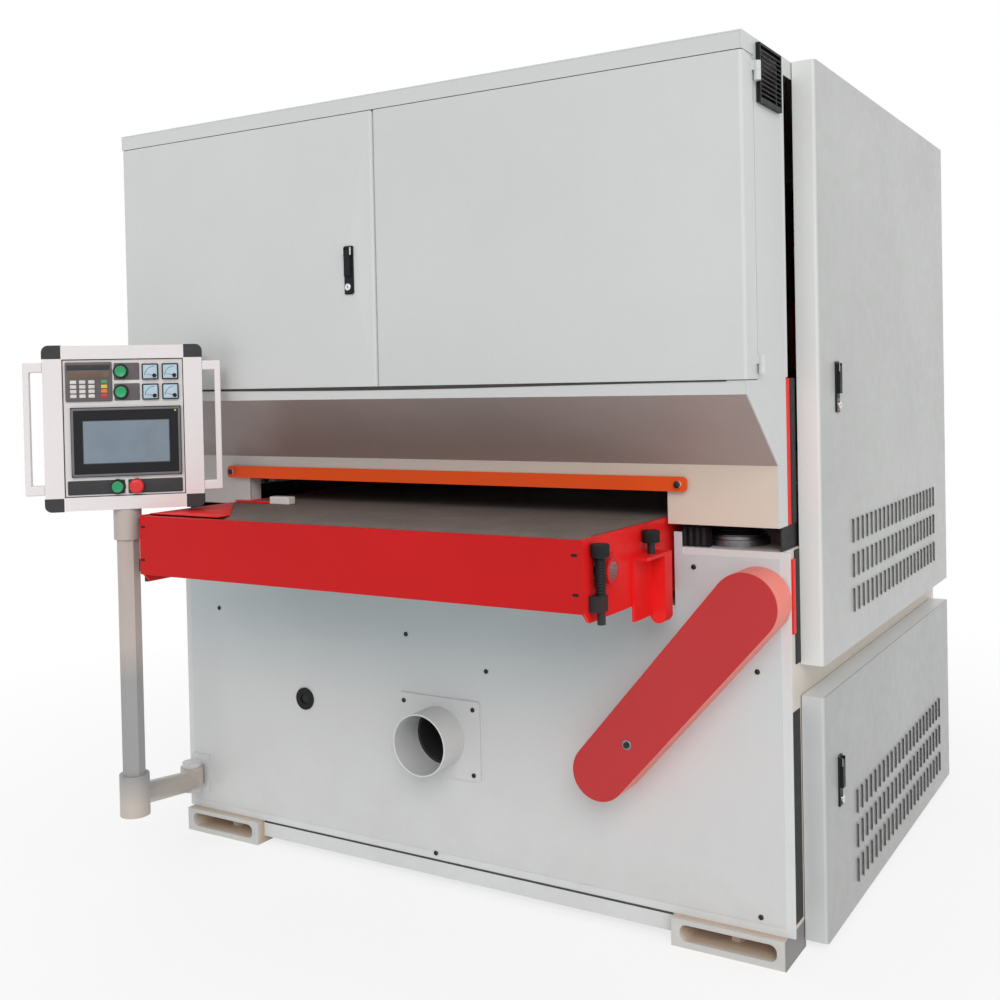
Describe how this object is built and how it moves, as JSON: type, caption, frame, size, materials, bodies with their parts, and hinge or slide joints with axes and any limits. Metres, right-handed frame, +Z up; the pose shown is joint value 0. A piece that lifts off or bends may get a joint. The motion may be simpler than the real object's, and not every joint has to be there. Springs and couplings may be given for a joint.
{
  "type": "wide belt sander",
  "caption": "Industrial wide belt sander: boxed base with a through-feed conveyor, a head that rises on screws with doors and sanding belts, and a swinging control panel on a column.",
  "frame": {"origin": "on the floor under the middle of the whole machine", "axes": "+X to the right as seen from the front, +Y along the feed to the back, +Z up"},
  "size_m": [1.987, 2.6818, 2.22],
  "materials": {
    "pale_paint": "satin powder coat",
    "grey_paint": "satin powder coat",
    "beige_paint": "satin powder coat",
    "taupe_paint": "satin powder coat",
    "red_paint": "gloss paint",
    "orange_paint": "gloss paint",
    "blue_paint": "gloss paint",
    "steel": "ground",
    "black_metal": "matt",
    "black_plastic": "moulded",
    "belt_rubber": "matt",
    "grit": "coated cloth",
    "panel_frame": "painted",
    "panel_plate": "satin",
    "meter_face": "satin",
    "green_plastic": "gloss",
    "red_plastic": "gloss"
  },
  "bodies": {
    "base": {"base_frame": "grey_paint", "base_front_panel": "pale_paint", "levelling_feet": "grey_paint", "front_dust_port": "pale_paint", "cable_grommet": "black_plastic", "lift_motor": "blue_paint", "lift_chain_guard": "red_paint", "jack_housings": "steel", "conveyor_frame": "red_paint", "conveyor_front_cover": "red_paint", "feed_belt": "belt_rubber", "take_up_bearings": "black_metal", "feed_gearmotor": "blue_paint", "arm_bracket": "pale_paint"},
    "head": {"head_frame": "red_paint", "cabinet_shell": "pale_paint", "front_hood": "taupe_paint", "front_jaw": "beige_paint", "rear_hood": "beige_paint", "vent_grille": "black_plastic", "dust_hoods": "grey_paint", "lift_screws": "steel", "drum_bearings": "steel", "main_motor": "blue_paint", "drive_belts": "belt_rubber", "sanding_belts": "grit", "tension_cylinders": "steel", "electrical_plate": "beige_paint", "head_hinges": "steel"},
    "safety_bar": {"safety_bar": "orange_paint"},
    "left_door": {"left_door": "pale_paint"},
    "left_lever": {"left_door_lever": "black_plastic"},
    "right_door": {"right_door": "pale_paint"},
    "upper_door": {"upper_side_door": "pale_paint"},
    "upper_lever": {"upper_door_lever": "black_plastic"},
    "lower_door": {"lower_side_door": "pale_paint"},
    "lower_lever": {"lower_door_lever": "black_plastic"},
    "arm": {"panel_arm": "pale_paint"},
    "panel": {"panel_case": "panel_frame", "panel_corners": "black_plastic", "panel_handles": "panel_frame", "panel_face": "panel_plate", "touch_screen": "black_plastic", "keypad": "black_plastic", "meters": "meter_face"},
    "head_one_button": {"head_one_button": "green_plastic"},
    "head_two_button": {"head_two_button": "green_plastic"},
    "feed_button": {"feed_button": "green_plastic"},
    "stop_button": {"stop_button": "red_plastic"},
    "drive_roller": {"drive_roller": "steel"},
    "idler_roller": {"idler_roller": "steel"},
    "drum_1": {"contact_drum_1": "steel"},
    "drum_2": {"contact_drum_2": "steel"},
    "yoke_1": {"tension_yoke_1": "red_paint"},
    "yoke_2": {"tension_yoke_2": "red_paint"},
    "tension_roller_1": {"tension_roller_1": "steel"},
    "tension_roller_2": {"tension_roller_2": "steel"},
    "motor_pulley": {"motor_pulley": "steel"},
    "front_press_roller": {"front_press_roller": "steel"},
    "rear_press_roller": {"rear_press_roller": "steel"}
  },
  "joints": [
    {"name": "head_lift", "type": "slide", "parent": "base", "child": "head", "axis": [0, 0, 1], "range_m": [-0.055, 0.1]},
    {"name": "safety_bar_trip", "type": "slide", "parent": "head", "child": "safety_bar", "axis": [0, 1, 0], "range_m": [0, 0.005], "stiffness_N_per_m": 4000},
    {"name": "left_door_hinge", "type": "hinge", "parent": "head", "child": "left_door", "pos_m": [-0.9855, -0.85755, 1.716], "axis": [0, 0, 1], "range_deg": [-100, 0]},
    {"name": "left_lever_flip", "type": "hinge", "parent": "left_door", "child": "left_lever", "pos_m": [-0.1425, -0.93756, 1.714], "axis": [-1, 0, 0], "range_deg": [0, 40]},
    {"name": "right_door_hinge", "type": "hinge", "parent": "head", "child": "right_door", "pos_m": [0.9325, -0.85755, 1.716], "axis": [0, 0, 1], "range_deg": [0, 100]},
    {"name": "upper_door_hinge", "type": "hinge", "parent": "head", "child": "upper_door", "pos_m": [0.9375, 0.83744, 1.4], "axis": [0, 0, 1], "range_deg": [0, 105]},
    {"name": "upper_lever_flip", "type": "hinge", "parent": "upper_door", "child": "upper_lever", "pos_m": [0.9895, -0.45655, 1.388], "axis": [0, -1, 0], "range_deg": [0, 40]},
    {"name": "lower_door_hinge", "type": "hinge", "parent": "base", "child": "lower_door", "pos_m": [0.9375, 0.83744, 0.32], "axis": [0, 0, 1], "range_deg": [0, 105]},
    {"name": "lower_lever_flip", "type": "hinge", "parent": "lower_door", "child": "lower_lever", "pos_m": [0.9895, -0.48156, 0.428], "axis": [0, -1, 0], "range_deg": [0, 40]},
    {"name": "panel_arm_swing", "type": "hinge", "parent": "base", "child": "arm", "pos_m": [-0.9355, -0.75455, 0.178], "axis": [0, 0, 1], "range_deg": [-115, 0]},
    {"name": "panel_swivel", "type": "hinge", "parent": "arm", "child": "panel", "pos_m": [-0.7615, -1.13455, 1.04], "axis": [0, 0, 1], "range_deg": [-90, 0]},
    {"name": "head_one_button_press", "type": "slide", "parent": "panel", "child": "head_one_button", "axis": [-0.7071, 0.7071, 0], "range_m": [0, 0.004], "stiffness_N_per_m": 600},
    {"name": "head_two_button_press", "type": "slide", "parent": "panel", "child": "head_two_button", "axis": [-0.7071, 0.7071, 0], "range_m": [0, 0.004], "stiffness_N_per_m": 600},
    {"name": "feed_button_press", "type": "slide", "parent": "panel", "child": "feed_button", "axis": [-0.7071, 0.7071, 0], "range_m": [0, 0.004], "stiffness_N_per_m": 600},
    {"name": "stop_button_press", "type": "slide", "parent": "panel", "child": "stop_button", "axis": [-0.7071, 0.7071, 0], "range_m": [0, 0.004], "stiffness_N_per_m": 600},
    {"name": "drive_roller_spin", "type": "hinge", "parent": "base", "child": "drive_roller", "pos_m": [-0.0205, 1.25415, 0.9587], "axis": [1, 0, 0], "continuous": true},
    {"name": "idler_roller_spin", "type": "hinge", "parent": "base", "child": "idler_roller", "pos_m": [-0.0205, -1.07726, 0.9587], "axis": [1, 0, 0], "continuous": true},
    {"name": "drum_1_spin", "type": "hinge", "parent": "head", "child": "drum_1", "pos_m": [-0.0205, -0.22956, 1.2218], "axis": [1, 0, 0], "continuous": true},
    {"name": "drum_2_spin", "type": "hinge", "parent": "head", "child": "drum_2", "pos_m": [-0.0205, 0.40645, 1.2218], "axis": [1, 0, 0], "continuous": true},
    {"name": "yoke_1_slide", "type": "slide", "parent": "head", "child": "yoke_1", "axis": [0, 0, 1], "range_m": [-0.04, 0]},
    {"name": "yoke_2_slide", "type": "slide", "parent": "head", "child": "yoke_2", "axis": [0, 0, 1], "range_m": [-0.04, 0]},
    {"name": "tension_roller_1_spin", "type": "hinge", "parent": "yoke_1", "child": "tension_roller_1", "pos_m": [-0.0205, -0.22956, 1.8818], "axis": [1, 0, 0], "continuous": true},
    {"name": "tension_roller_2_spin", "type": "hinge", "parent": "yoke_2", "child": "tension_roller_2", "pos_m": [-0.0205, 0.40645, 1.8818], "axis": [1, 0, 0], "continuous": true},
    {"name": "motor_pulley_spin", "type": "hinge", "parent": "head", "child": "motor_pulley", "pos_m": [-0.6765, 0.08844, 1.5698], "axis": [1, 0, 0], "continuous": true},
    {"name": "front_press_roller_spin", "type": "hinge", "parent": "head", "child": "front_press_roller", "pos_m": [-0.0205, -0.49956, 1.144], "axis": [1, 0, 0], "continuous": true},
    {"name": "rear_press_roller_spin", "type": "hinge", "parent": "head", "child": "rear_press_roller", "pos_m": [-0.0205, 0.67644, 1.144], "axis": [1, 0, 0], "continuous": true}
  ],
  "couplings": [
    {"joint": "left_door_hinge", "follows": "panel_arm_swing", "ratio": 0.86957},
    {"joint": "idler_roller_spin", "follows": "drive_roller_spin", "ratio": 1},
    {"joint": "drum_2_spin", "follows": "drum_1_spin", "ratio": 1},
    {"joint": "motor_pulley_spin", "follows": "drum_1_spin", "ratio": 0.89744},
    {"joint": "tension_roller_1_spin", "follows": "drum_1_spin", "ratio": 1.5},
    {"joint": "tension_roller_2_spin", "follows": "drum_1_spin", "ratio": 1.5}
  ]
}
